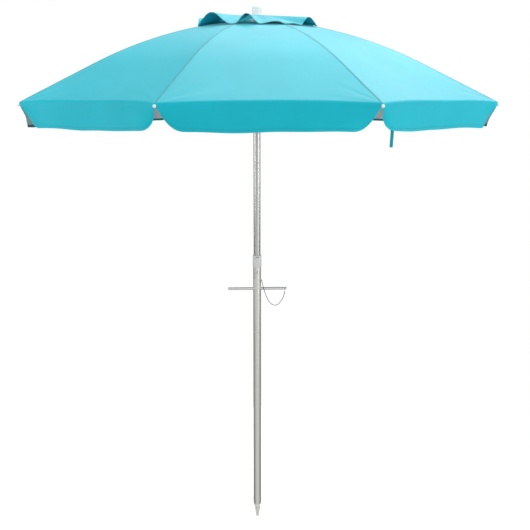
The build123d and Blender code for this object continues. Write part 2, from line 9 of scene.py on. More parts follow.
import bmesh
import bpy
import numpy as np
from bpy.props import FloatProperty, FloatVectorProperty, PointerProperty
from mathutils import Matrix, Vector

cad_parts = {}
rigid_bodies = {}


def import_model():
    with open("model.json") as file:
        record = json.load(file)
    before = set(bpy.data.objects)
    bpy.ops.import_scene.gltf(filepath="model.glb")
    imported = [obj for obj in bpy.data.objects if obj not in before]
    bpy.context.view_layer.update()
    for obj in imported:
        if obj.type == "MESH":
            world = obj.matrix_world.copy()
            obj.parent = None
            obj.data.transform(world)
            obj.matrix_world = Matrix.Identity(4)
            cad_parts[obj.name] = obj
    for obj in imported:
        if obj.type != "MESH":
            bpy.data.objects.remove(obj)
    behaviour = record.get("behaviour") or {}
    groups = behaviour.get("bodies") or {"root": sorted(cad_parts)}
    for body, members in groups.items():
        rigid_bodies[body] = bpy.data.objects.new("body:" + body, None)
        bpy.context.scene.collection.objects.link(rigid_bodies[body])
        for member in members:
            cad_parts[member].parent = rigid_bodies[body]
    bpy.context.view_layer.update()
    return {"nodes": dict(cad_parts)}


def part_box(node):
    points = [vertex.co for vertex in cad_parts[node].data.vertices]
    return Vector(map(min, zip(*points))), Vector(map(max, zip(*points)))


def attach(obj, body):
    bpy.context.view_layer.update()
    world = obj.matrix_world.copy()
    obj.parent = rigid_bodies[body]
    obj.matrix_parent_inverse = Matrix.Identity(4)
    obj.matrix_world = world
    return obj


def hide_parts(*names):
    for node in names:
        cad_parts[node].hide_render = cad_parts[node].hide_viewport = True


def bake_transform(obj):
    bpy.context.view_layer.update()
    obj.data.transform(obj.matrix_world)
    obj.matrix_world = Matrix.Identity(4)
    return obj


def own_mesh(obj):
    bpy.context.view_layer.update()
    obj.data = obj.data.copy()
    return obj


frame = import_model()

bl_info = {
    "name": "Beach Umbrella",
    "version": (1, 0, 0),
    "blender": (4, 5, 0),
    "location": "View3D > Sidebar > Umbrella",
    "description": "Makes the canopy, vent cap, chain, spike and finishes of a beach umbrella",
    "category": "Object",
}

RIBS = 8
STEP = 2 * math.pi / RIBS
HALF = STEP / 2
COS_HALF = math.cos(HALF)
SIN_HALF = math.sin(HALF)
TAN_HALF = math.tan(HALF)

# The canopy's outside along a rib: an even slope up from the edge, then one long arc to the centre
SLOPE = math.radians(26.7)
ARC = 1.7
STRAIGHT_FROM = 0.67
VENT_REACH = 0.15
EDGE_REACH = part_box("gore_0")[1][0] / COS_HALF
ARC_X = STRAIGHT_FROM - ARC * math.sin(SLOPE)
ARC_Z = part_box("gore_0")[1][2] - math.sqrt(ARC**2 - (VENT_REACH - ARC_X) ** 2)
STRAIGHT_Z = ARC_Z + ARC * math.cos(SLOPE)
VALANCE_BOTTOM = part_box("gore_0")[0][2]
# The valance is this deep at a rib, and this power rounds its corners
CORNER_DROP = 0.011
CORNER_POWER = 2.4
# Rows of points down the canopy's top, round its fold and down its valance
TOP_ROWS = 48
FOLD_ROWS = 10
FALL_ROWS = 14
# Topstitching lies this far from a seam and from the hem
SEAM_STITCH = 0.0042
HEM_STITCH = 0.009
# A part of the vent cap is cut this much wider than its straight side, and this long
CAP_FULLNESS = 1.05
CAP_CUT_LENGTH = 0.245

# The keeper chain's route, the same points as its tube's
CHAIN_ROUTE = [
    (0.0186, -0.0107, 1.0170),
    (0.0230, -0.0112, 0.9960),
    (0.0315, -0.0110, 0.9660),
    (0.0440, -0.0090, 0.9350),
    (0.0620, -0.0065, 0.9140),
    (0.0840, -0.0040, 0.9130),
    (0.1010, -0.0020, 0.9340),
    (0.1095, -0.0008, 0.9510),
    (0.1125, 0.0000, 0.9610),
]
CHAIN_DIAMETER = 0.003

# Ruffles of the vent cap's hem, side by side from one rib to the next: start, peak and end as shares
# of the side, the height of the ruffle, and how sharply it rises and falls
RUFFLES = {
    0: [(0.04, 0.30, 0.62, 0.018, 1.4, 1.8), (0.60, 0.80, 0.98, 0.010, 1.5, 1.5)],
    1: [(0.03, 0.45, 0.97, 0.034, 1.3, 1.8)],
    2: [(0.02, 0.22, 0.48, 0.014, 1.5, 1.5), (0.45, 0.74, 0.98, 0.028, 1.5, 1.4)],
    3: [(0.03, 0.22, 0.45, 0.010, 1.5, 1.5), (0.35, 0.74, 1.0, 0.031, 1.6, 1.0)],
    4: [(0.0, 0.34, 1.02, 0.048, 1.0, 2.8)],
    5: [(0.03, 0.24, 0.52, 0.038, 1.4, 2.0), (0.52, 0.84, 1.0, 0.010, 1.5, 1.4)],
    6: [(0.04, 0.25, 0.48, 0.004, 1.5, 1.5), (0.48, 0.76, 1.0, 0.032, 1.5, 1.3)],
    7: [(0.05, 0.52, 0.96, 0.022, 1.4, 1.6)],
}


# ---- shapes in numpy and mesh helpers


def canopy_height(reach):
    """Height of the canopy's outside at a reach along a rib, or along the line under it in a side."""
    arc = ARC_Z + np.sqrt(np.maximum(ARC**2 - (reach - ARC_X) ** 2, 0))
    return np.where(reach > STRAIGHT_FROM, STRAIGHT_Z - (reach - STRAIGHT_FROM) * math.tan(SLOPE), arc)


def rib_angle(number):
    return HALF + STEP * number


def turned(points, angle):
    """Points turned about the pole."""
    c, s = math.cos(angle), math.sin(angle)
    x, y, z = points[..., 0], points[..., 1], points[..., 2]
    return np.stack([x * c - y * s, x * s + y * c, z], axis=-1)


def smooth_step(value):
    value = np.clip(value, 0, 1)
    return value * value * (3 - 2 * value)


def grid_points(x, y, z):
    """One grid of points from three arrays that broadcast together."""
    return np.stack(np.broadcast_arrays(x, y, z), axis=-1)


def new_piece(name, mesh):
    piece = bpy.data.objects.new(name, mesh)
    bpy.context.scene.collection.objects.link(piece)
    return piece


def grid_mesh(name, points, attributes=(), uv=None, flip=False):
    """A mesh of quads over a grid of points, rows by columns, with point attributes and a UV map."""
    rows, columns = points.shape[:2]
    index = np.arange(rows * columns).reshape(rows, columns)
    quads = np.stack([index[:-1, :-1], index[1:, :-1], index[1:, 1:], index[:-1, 1:]], axis=-1)
    quads = quads.reshape(-1, 4)
    if flip:
        quads = quads[:, ::-1]
    mesh = bpy.data.meshes.new(name)
    mesh.from_pydata(points.reshape(-1, 3).tolist(), [], quads.tolist())
    for label, values in attributes:
        layer = mesh.attributes.new(label, "FLOAT", "POINT")
        layer.data.foreach_set("value", np.ascontiguousarray(values, np.float32).ravel())
    if uv is not None:
        layer = mesh.uv_layers.new(name="cloth")
        loops = np.empty(len(mesh.loops), np.int32)
        mesh.loops.foreach_get("vertex_index", loops)
        flat = np.ascontiguousarray(uv.reshape(-1, 2)[loops], np.float32)
        layer.data.foreach_set("uv", flat.ravel())
    mesh.shade_smooth()
    return mesh


def final_mesh(piece):
    """Applies a piece's modifiers, so that it is a plain mesh."""
    graph = bpy.context.evaluated_depsgraph_get()
    mesh = bpy.data.meshes.new_from_object(piece.evaluated_get(graph))
    piece.modifiers.clear()
    old = piece.data
    piece.data = mesh
    mesh.name = piece.name
    if old.users == 0:
        bpy.data.meshes.remove(old)
    return piece


def thicken(piece, thickness, outside, inside, edge):
    """Gives a sheet its thickness inwards, with a material outside, one inside and one on its edge."""
    for material in (outside, inside, edge):
        piece.data.materials.append(material)
    wall = piece.modifiers.new("thickness", "SOLIDIFY")
    wall.thickness = thickness
    wall.offset = -1
    wall.use_even_offset = False
    wall.material_offset = 1
    wall.material_offset_rim = 2
    final_mesh(piece)
    piece.data.set_sharp_from_angle(angle=math.radians(50))
    return piece


def fit(piece, finish, body):
    """Gives a piece its finish and the body that it moves with."""
    piece.data.materials.append(material(finish))
    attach(piece, body)


def lathe(name, profile, segments=96):
    """A closed surface of revolution about Z from (radius, height) points, from bottom to top."""
    shape = bmesh.new()
    rings = []
    for radius, height in profile:
        if radius < 1e-7:
            rings.append([shape.verts.new((0, 0, height))])
            continue
        ring = []
        for i in range(segments):
            angle = 2 * math.pi * i / segments
            ring.append(shape.verts.new((radius * math.cos(angle), radius * math.sin(angle), height)))
        rings.append(ring)
    for low, high in zip(rings, rings[1:]):
        for i in range(segments):
            j = (i + 1) % segments
            corners = [low[i % len(low)], low[j % len(low)], high[j % len(high)], high[i % len(high)]]
            shape.faces.new(list(dict.fromkeys(corners)))
    mesh = bpy.data.meshes.new(name)
    shape.to_mesh(mesh)
    shape.free()
    mesh.shade_smooth()
    mesh.set_sharp_from_angle(angle=math.radians(40))
    return new_piece(name, mesh)


def close_mesh(mesh, merge_distance):
    """Merges a grid's seam, fills its ends and points its faces outwards."""
    shape = bmesh.new()
    shape.from_mesh(mesh)
    bmesh.ops.remove_doubles(shape, verts=shape.verts, dist=merge_distance)
    bmesh.ops.holes_fill(shape, edges=[e for e in shape.edges if e.is_boundary], sides=0)
    bmesh.ops.recalc_face_normals(shape, faces=shape.faces)
    shape.to_mesh(mesh)
    shape.free()


def ring_piece(name, centre, axis, major, minor, around=72, section=14):
    """A wire ring about an axis through its centre."""
    turn = np.array(Vector((0, 0, 1)).rotation_difference(Vector(axis)).to_matrix())
    along = np.linspace(0, 2 * math.pi, around + 1)[:, None]
    about = np.linspace(0, 2 * math.pi, section + 1)[None, :]
    reach = major + minor * np.cos(about)
    points = grid_points(reach * np.cos(along), reach * np.sin(along), minor * np.sin(about))
    mesh = grid_mesh(name, points @ turn.T + np.array(centre))
    close_mesh(mesh, 1e-6)
    return new_piece(name, mesh)


def line_piece(name, lines):
    """A mesh of bare edges along each line of points, which node trees follow."""
    points, edges = [], []
    for line in lines:
        start = len(points)
        points.extend(tuple(float(v) for v in p) for p in line)
        edges.extend((start + i, start + i + 1) for i in range(len(line) - 1))
    mesh = bpy.data.meshes.new(name)
    mesh.from_pydata(points, edges, [])
    return new_piece(name, mesh)


# ---- geometry node trees


class Nodes:
    """Short calls to add and join the nodes of one tree."""

    def __init__(self, tree):
        self.nodes, self.links = tree.nodes, tree.links

    def add(self, kind, links=(), **values):
        node = self.nodes.new(kind)
        for key, value in values.items():
            setattr(node, key, value)
        for socket, source in links:
            if isinstance(source, bpy.types.NodeSocket):
                self.links.new(source, node.inputs[socket])
            else:
                node.inputs[socket].default_value = source
        return node

    def band(self, value, low, high, to_low=0.0, to_high=1.0):
        sockets = ("Value", "From Min", "From Max", "To Min", "To Max")
        values = (value, low, high, to_low, to_high)
        return self.add("ShaderNodeMapRange", zip(sockets, values)).outputs["Result"]


class Tree(Nodes):
    """A geometry node tree with named sizes and a material."""

    def __init__(self, name, sizes):
        self.group = bpy.data.node_groups.new(name, "GeometryNodeTree")
        super().__init__(self.group)
        face = self.group.interface
        face.new_socket(name="Geometry", in_out="INPUT", socket_type="NodeSocketGeometry")
        self.ids = {}
        for label, size in sizes.items():
            socket = face.new_socket(name=label, in_out="INPUT", socket_type="NodeSocketFloat")
            socket.default_value = size
            self.ids[label] = socket.identifier
        finish = face.new_socket(name="Material", in_out="INPUT", socket_type="NodeSocketMaterial")
        self.ids["Material"] = finish.identifier
        face.new_socket(name="Geometry", in_out="OUTPUT", socket_type="NodeSocketGeometry")
        self.start = self.nodes.new("NodeGroupInput")
        self.end = self.nodes.new("NodeGroupOutput")

    def given(self, label):
        return self.start.outputs[label]

    def spaced_points(self):
        """The line as a curve, and as points at an even pitch."""
        curve = self.add("GeometryNodeMeshToCurve", [("Mesh", self.given("Geometry"))])
        sources = [("Curve", curve.outputs[0]), ("Length", self.given("Pitch"))]
        return curve, self.add("GeometryNodeResampleCurve", sources, mode="LENGTH")

    def finish(self, source):
        """Ends the tree in Realize Instances and Set Material."""
        real = self.add("GeometryNodeRealizeInstances", [("Geometry", source)])
        painted = self.add(
            "GeometryNodeSetMaterial",
            [("Geometry", real.outputs[0]), ("Material", self.given("Material"))],
        )
        self.links.new(painted.outputs[0], self.end.inputs[0])
        return self


def run_tree(piece, tree, values):
    """Runs a tree on a piece and leaves a plain mesh."""
    modifier = piece.modifiers.new(tree.group.name, "NODES")
    modifier.node_group = tree.group
    for label, value in values.items():
        modifier[tree.ids[label]] = value
    piece.update_tag()
    bpy.context.view_layer.update()
    return final_mesh(piece)


def stitch_tree():
    """Short thread stitches at an even pitch along every line."""
    tree = Tree("Stitches", {"Pitch": 0.004, "Length": 0.0028, "Thread": 0.0003})
    _, spaced = tree.spaced_points()
    thread = tree.add(
        "GeometryNodeMeshCylinder",
        [("Vertices", 6), ("Radius", tree.given("Thread")), ("Depth", tree.given("Length"))],
    )
    tangent = tree.add("GeometryNodeInputTangent")
    turn = tree.add("FunctionNodeAlignRotationToVector", [("Vector", tangent.outputs[0])], axis="Z")
    placed = tree.add(
        "GeometryNodeInstanceOnPoints",
        [("Points", spaced.outputs[0]), ("Instance", thread.outputs[0]), ("Rotation", turn.outputs[0])],
    )
    return tree.finish(placed.outputs[0])


def bead_tree():
    """A bead chain: even beads on a thin wire."""
    tree = Tree("Bead chain", {"Pitch": 0.004, "Bead": 0.0015, "Wire": 0.0004})
    curve, spaced = tree.spaced_points()
    bead = tree.add(
        "GeometryNodeMeshIcoSphere", [("Radius", tree.given("Bead")), ("Subdivisions", 3)]
    )
    placed = tree.add(
        "GeometryNodeInstanceOnPoints",
        [("Points", spaced.outputs[0]), ("Instance", bead.outputs[0])],
    )
    section = tree.add(
        "GeometryNodeCurvePrimitiveCircle", [("Resolution", 8), ("Radius", tree.given("Wire"))]
    )
    wire = tree.add(
        "GeometryNodeCurveToMesh",
        [("Curve", curve.outputs[0]), ("Profile Curve", section.outputs[0]), ("Fill Caps", True)],
    )
    both = tree.add("GeometryNodeJoinGeometry")
    tree.links.new(placed.outputs[0], both.inputs[0])
    tree.links.new(wire.outputs[0], both.inputs[0])
    return tree.finish(both.outputs[0])


# ---- materials


class Paint(Nodes):
    """A material's nodes, which end in one shader."""

    def __init__(self, name, **surface):
        self.material = bpy.data.materials.new(name)
        self.material.use_nodes = True
        super().__init__(self.material.node_tree)
        self.shader = self.nodes["Principled BSDF"]
        for socket, value in surface.items():
            self.shader.inputs[socket.replace("_", " ")].default_value = value

    def place(self, scale=(1, 1, 1), uv=None):
        """Object coordinates, or the piece's own UV map, through a Mapping node."""
        if uv:
            source = self.add("ShaderNodeUVMap", uv_map=uv).outputs[0]
        else:
            source = self.add("ShaderNodeTexCoord").outputs["Object"]
        return self.add("ShaderNodeMapping", [("Vector", source), ("Scale", scale)]).outputs[0]

    def noise(self, vector, scale, detail=4.0, roughness=0.55):
        return self.add(
            "ShaderNodeTexNoise",
            [("Vector", vector), ("Scale", scale), ("Detail", detail), ("Roughness", roughness)],
        ).outputs["Fac"]

    def math(self, operation, a, b=0.0):
        return self.add("ShaderNodeMath", [(0, a), (1, b)], operation=operation).outputs[0]

    def mix(self, factor, a, b):
        return self.add("ShaderNodeMix", ((0, factor), (6, a), (7, b)), data_type="RGBA").outputs[2]

    def set(self, socket, source):
        self.links.new(source, self.shader.inputs[socket])

    def bump(self, height, strength, distance):
        node = self.add(
            "ShaderNodeBump", [("Height", height), ("Strength", strength), ("Distance", distance)]
        )
        self.links.new(node.outputs[0], self.shader.inputs["Normal"])


def rgba(colour, shade=1.0):
    return (colour[0] * shade, colour[1] * shade, colour[2] * shade, 1.0)


def weave(paint, pitch):
    """Height of a plain weave on the cloth's own UV map, in metres."""
    vector = paint.place((1 / pitch, 1 / pitch, 1), uv="cloth")
    threads = []
    for direction in ("X", "Y"):
        wave = paint.add(
            "ShaderNodeTexWave",
            [("Vector", vector), ("Scale", 0.314), ("Distortion", 0.0)],
            bands_direction=direction,
        )
        threads.append(wave.outputs["Fac"])
    return paint.math("MULTIPLY", *threads)


def cloth_material(name, colour, roughness, sheen, hem_colour=None, metallic=0.0):
    """Woven polyester with a fine weave and faint handling marks, painted shade along its seams, and a
    darker hem: on the outside a painted shade line at its fold, on the inside a dark teal band.
    """
    paint = Paint(name, Roughness=roughness, Metallic=metallic, Sheen_Weight=sheen, Sheen_Roughness=0.35)
    paint.shader.inputs["Specular IOR Level"].default_value = 0.25
    paint.shader.inputs["Sheen Tint"].default_value = (0.9, 1.0, 1.0, 1.0)
    soft = paint.noise(paint.place(), 3.5, 5.0)
    tone = paint.mix(paint.band(soft, 0.3, 0.7), rgba(colour, 0.93), rgba(colour, 1.06))
    seam = paint.add("ShaderNodeAttribute", attribute_name="seam").outputs["Fac"]
    # Painted shade: a darker line along each seam, standing in for the shadow at the raised seam.
    crease = paint.band(seam, 0.0005, 0.003, 1.0, 0.0)
    tone = paint.mix(paint.math("MULTIPLY", crease, 0.85), tone, rgba(colour, 0.4))
    hem = paint.add("ShaderNodeAttribute", attribute_name="hem").outputs["Fac"]
    if hem_colour:
        tone = paint.mix(paint.band(hem, 0.0095, 0.0105, 1.0, 0.0), tone, rgba(hem_colour, 0.35))
    else:
        # Painted shade: a thin darker line on the outside where the turned-up hem folds, 11 mm from the
        # edge.
        row = paint.math("ABSOLUTE", paint.math("SUBTRACT", hem, 0.011))
        hem_fold_shade = paint.math("MULTIPLY", paint.band(row, 0.0, 0.001, 1.0, 0.0), 0.2)
        tone = paint.mix(hem_fold_shade, tone, rgba(colour, 0.5))
    paint.set("Base Color", tone)
    fine = paint.noise(paint.place(), 140.0, 2.0)
    paint.set("Roughness", paint.band(fine, 0.3, 0.7, roughness - 0.05, roughness + 0.07))
    height = paint.math("ADD", weave(paint, 0.0009), paint.math("MULTIPLY", soft, 2.0))
    paint.bump(height, 0.25, 0.0004)
    return paint.material


def edge_material(colour):
    """The turned edge of the cloth, where its weave closes up and looks darker."""
    paint = Paint("cloth_edge", Roughness=0.7)
    speck = paint.noise(paint.place(), 600.0, 2.0)
    paint.set("Base Color", paint.mix(speck, rgba(colour, 0.3), rgba(colour, 0.55)))
    return paint.material


def thread_material(colour):
    paint = Paint("sewing_thread", Roughness=0.6, Sheen_Weight=0.3)
    twist = paint.noise(paint.place(), 1800.0, 1.0)
    paint.set("Base Color", paint.mix(twist, rgba(colour, 0.55), rgba(colour, 0.9)))
    paint.bump(twist, 0.4, 0.0001)
    return paint.material


def metal_material(name, colour, roughness, along="Z", grain=0.12):
    """Drawn or brushed metal, with fine lines along its length and faint handling wear."""
    paint = Paint(name, Metallic=1.0, Roughness=roughness)
    lines = {"Z": (900, 900, 6), "X": (6, 900, 900)}[along]
    brushed = paint.noise(paint.place(lines), 0.5, 3.0)
    wear = paint.noise(paint.place(), 9.0, 6.0, 0.65)
    tone = paint.mix(paint.band(brushed, 0.25, 0.75), rgba(colour, 0.9), rgba(colour, 1.06))
    tone = paint.mix(paint.band(wear, 0.55, 0.8, 0.0, 0.25), tone, rgba(colour, 0.7))
    paint.set("Base Color", tone)
    rough = paint.math("ADD", paint.band(brushed, 0.2, 0.8, -0.06, 0.06), roughness)
    rough = paint.math("ADD", rough, paint.band(wear, 0.5, 0.8, 0.0, 0.12))
    paint.set("Roughness", rough)
    paint.bump(brushed, grain, 0.00005)
    return paint.material


def plastic_material(name, colour, roughness, clear=0.0, soft=0.0):
    """Moulded plastic with a fine surface texture, milky when it lets light through."""
    paint = Paint(
        name,
        Roughness=roughness,
        Transmission_Weight=clear,
        Subsurface_Weight=soft,
        Subsurface_Scale=0.01,
        IOR=1.49,
        Coat_Weight=0.12,
        Coat_Roughness=0.2,
    )
    cloud = paint.noise(paint.place(), 45.0, 3.0)
    paint.set("Base Color", paint.mix(cloud, rgba(colour, 0.93), rgba(colour, 1.04)))
    texture = paint.noise(paint.place(), 1500.0, 2.0)
    paint.set("Roughness", paint.band(texture, 0.3, 0.7, roughness - 0.04, roughness + 0.08))
    paint.bump(texture, 0.08, 0.0002)
    return paint.material


def slot_shade_material():
    # Near-black colour: painted shade for the inside of the collar's slot.
    paint = Paint("painted_slot_shade", Roughness=0.8)
    cloud = paint.noise(paint.place(), 80.0)
    paint.set("Base Color", paint.mix(cloud, (0.07, 0.07, 0.065, 1), (0.12, 0.12, 0.11, 1)))
    return paint.material


MATERIALS = {}


def material(label):
    """Each finish, made once from the settings."""
    if label in MATERIALS:
        return MATERIALS[label]
    canopy = bpy.context.scene.umbrella_canopy
    metal = bpy.context.scene.umbrella_hardware
    makers = {
        "outside": lambda: cloth_material("canopy_teal", canopy.outside, 0.5, 0.3),
        "underside": lambda: cloth_material("uncoated_teal", canopy.underside, 0.7, 0.05),
        "inside": lambda: cloth_material(
            "silver_coating", canopy.inside, 0.42, 0.0, canopy.outside, 0.45
        ),
        # The strap's cloth is the canopy's teal darkened to 0.62, painted shade for where it hangs inside
        # the valance.
        "webbing": lambda: cloth_material("webbing_teal_painted_shade", tuple(0.62 * c for c in canopy.outside), 0.7, 0.0),
        "edge": lambda: edge_material(canopy.outside),
        "thread": lambda: thread_material(canopy.outside),
        "lower tube": lambda: metal_material("satin_tube", metal.lower_tube, 0.34),
        "upper tube": lambda: metal_material("polished_tube", metal.upper_tube, 0.26, grain=0.05),
        "bar": lambda: metal_material("brushed_bar", metal.bar, 0.36, along="X"),
        "steel": lambda: metal_material("zinc_steel", (0.72, 0.72, 0.72), 0.3),
        "nickel": lambda: metal_material("dull_nickel", (0.1, 0.098, 0.09), 0.4),
        "casting": lambda: metal_material("cast_joint", (0.6, 0.61, 0.62), 0.45),
        "rib": lambda: plastic_material("white_enamel", (0.82, 0.83, 0.84), 0.32),
        "white": lambda: plastic_material("white_plastic", (0.9, 0.9, 0.885), 0.34, soft=0.1),
        "grey": lambda: plastic_material("grey_plastic", (0.62, 0.64, 0.66), 0.45),
        "milky": lambda: plastic_material("milky_plastic", (0.56, 0.57, 0.53), 0.35, soft=0.1),
        "frosted": lambda: plastic_material("frosted_plastic", (0.6, 0.61, 0.6), 0.4),
        "dark": lambda: slot_shade_material(),
    }
    MATERIALS[label] = makers[label]()
    return MATERIALS[label]


def finish_node(node, label):
    """Gives a CAD node its finish."""
    shown = frame["nodes"][node]
    for place in shown.material_slots:
        place.link = "OBJECT"
        place.material = material(label)


# ---- settings


COLOUR = {"subtype": "COLOR", "size": 3, "min": 0, "max": 1}


class UmbrellaCanopySettings(bpy.types.PropertyGroup):
    """Sizes and colours of the canopy's cloth."""

    outside: FloatVectorProperty(
        name="Outside colour", description="Colour of the cloth's outside",
        default=(0.0, 0.5, 0.62), **COLOUR,
    )
    underside: FloatVectorProperty(
        name="Cap inside colour", description="Colour of the vent cap's uncoated inside",
        default=(0.02, 0.5, 0.62), **COLOUR,
    )
    inside: FloatVectorProperty(
        name="Inside colour", description="Colour of the silver coating",
        default=(0.5, 0.52, 0.53), **COLOUR,
    )
    thickness: FloatProperty(
        name="Cloth thickness", description="Thickness of the sheet", unit="LENGTH", default=0.0009
    )
    hem_pull: FloatProperty(
        name="Hem pull", description="How far the edge is drawn in halfway between two ribs",
        unit="LENGTH", default=0.022,
    )
    fold_radius: FloatProperty(
        name="Fold radius", description="Radius of the soft fold above the valance",
        unit="LENGTH", default=0.015,
    )
    corner_length: FloatProperty(
        name="Corner length", description="Length of the valance's rounded corner along the edge",
        unit="LENGTH", default=0.095,
    )
    crease: FloatProperty(
        name="Crease height", description="Height of the creases that run out from each corner",
        unit="LENGTH", default=0.0009,
    )
    ruffle: FloatProperty(
        name="Ruffle", description="Share of the ruffles' full height at the vent cap's hem",
        subtype="FACTOR", default=1.0,
    )


class UmbrellaHardwareSettings(bpy.types.PropertyGroup):
    """Colours of the poles and the turning bar."""

    lower_tube: FloatVectorProperty(
        name="Lower tube", description="Colour of the lower tube's metal",
        default=(0.68, 0.68, 0.65), **COLOUR,
    )
    upper_tube: FloatVectorProperty(
        name="Upper tube", description="Colour of the upper tubes' metal",
        default=(0.5, 0.51, 0.49), **COLOUR,
    )
    bar: FloatVectorProperty(
        name="Turning bar", description="Colour of the turning bar's metal",
        default=(0.85, 0.86, 0.85), **COLOUR,
    )


class UmbrellaStudioSettings(bpy.types.PropertyGroup):
    """The camera's place and the strength of the lights."""

    distance: FloatProperty(
        name="Distance", description="Level distance from the pole to the camera",
        unit="LENGTH", default=4.261,
    )
    height: FloatProperty(name="Height", description="Height of the camera", unit="LENGTH", default=1.765)
    bearing: FloatProperty(
        name="Bearing", description="Turn of the camera about the pole from straight in front",
        subtype="ANGLE", default=math.radians(-2.583),
    )
    aim: FloatProperty(
        name="Aim", description="Turn of the camera to the right of the pole",
        subtype="ANGLE", default=math.radians(0.435),
    )
    pitch: FloatProperty(
        name="Pitch", description="How far the camera looks down",
        subtype="ANGLE", default=math.radians(9.127),
    )
    lens: FloatProperty(
        name="Lens", description="Focal length in millimetres", subtype="DISTANCE_CAMERA", default=71.7
    )
    key_power: FloatProperty(
        name="Key light", description="Power of the soft light behind and to the right",
        subtype="POWER", default=46.0,
    )
    top_power: FloatProperty(
        name="Top light", description="Power of the soft light above and behind",
        subtype="POWER", default=72.0,
    )
    strip_power: FloatProperty(
        name="Strip light", description="Power of the tall light in front and to the right",
        subtype="POWER", default=16.0,
    )
    overhead_power: FloatProperty(
        name="Overhead light", description="Power of the soft light straight above",
        subtype="POWER", default=42.0,
    )
    side_power: FloatProperty(
        name="Side lights", description="Power of the soft light at each side",
        subtype="POWER", default=45.0,
    )
    floor_glow: FloatProperty(
        name="Floor glow", description="Light that the pale floor gives off", default=0.6
    )
    front_glow: FloatProperty(
        name="Front glow", description="Brightness of the studio in front of the object", default=0.85
    )
    back_glow: FloatProperty(
        name="Back glow", description="Brightness of the studio behind the object", default=0.3
    )


# ---- canopy


def column_shares(corner_share):
    """Shares of the way from a rib to the middle of a side: close together at the rounded corner."""
    corner = [corner_share * (1 - math.cos(math.pi / 2 * i / 16)) for i in range(17)]
    rest = [corner_share + (1 - corner_share) * i / 18 for i in range(1, 19)]
    return np.array(corner + rest)


def side_wave(side, across, seeds, waves):
    """A gentle wave along a side's edge, which is the same seen from both of its ribs."""
    total = np.zeros_like(across)
    for number, (length, height) in enumerate(waves):
        phase = 2 * math.pi * math.sin(side * 12.9898 + seeds + number * 4.1)
        total += height * np.sin(2 * math.pi * across / length + phase)
    return total


def half_points(out, across, height, hand):
    """A half side's points about the rib along +X, and how far down its column each one lies."""
    points = turned(np.stack([out, -across, height], axis=-1), HALF)
    points[..., 1] *= hand
    steps = np.linalg.norm(np.diff(points, axis=0), axis=-1)
    return points, np.concatenate([np.zeros((1, steps.shape[1])), np.cumsum(steps, axis=0)])


def both_halves(half, number, *settings):
    """Both halves about a rib, as one grid that shares the rib's column, turned to its place."""
    joined = []
    for a, b in zip(half(number, -1, *settings), half(number, 1, *settings)):
        middle = (a[:, :1] + b[:, :1]) / 2
        joined.append(np.concatenate([a[:, :0:-1], middle, b[:, 1:]], axis=1))
    return turned(joined[0], rib_angle(number)), *joined[1:]


def sewn_cloth(name, number, grid, half_width, inside, node):
    """A rib's cloth, in the place of its CAD node, with its thickness and finishes."""
    points, seam, hem, run = grid
    uv = np.stack([np.ones_like(run) * np.linspace(-half_width, half_width, run.shape[1]), run], axis=-1)
    mesh = grid_mesh(f"{name}_cloth_{number}", points, [("seam", seam), ("hem", hem)], uv)
    cloth = new_piece(mesh.name, mesh)
    thickness = bpy.context.scene.umbrella_canopy.thickness
    thicken(cloth, thickness, material("outside"), material(inside), material("edge"))
    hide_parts(node)
    return cloth


def stitch_and_gather(name, number, cloth, lines, stitches):
    """Stitches a rib's cloth, and attaches the cloth and its stitching to the rib, so that both move with it
    as the canopy folds.
    """
    thread = line_piece(f"{name}_stitching_{number}", lines)
    run_tree(thread, stitches, {"Material": material("thread")})
    rib = f"rib_{number}"
    for piece in (cloth, thread):
        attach(piece, rib)
        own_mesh(piece)


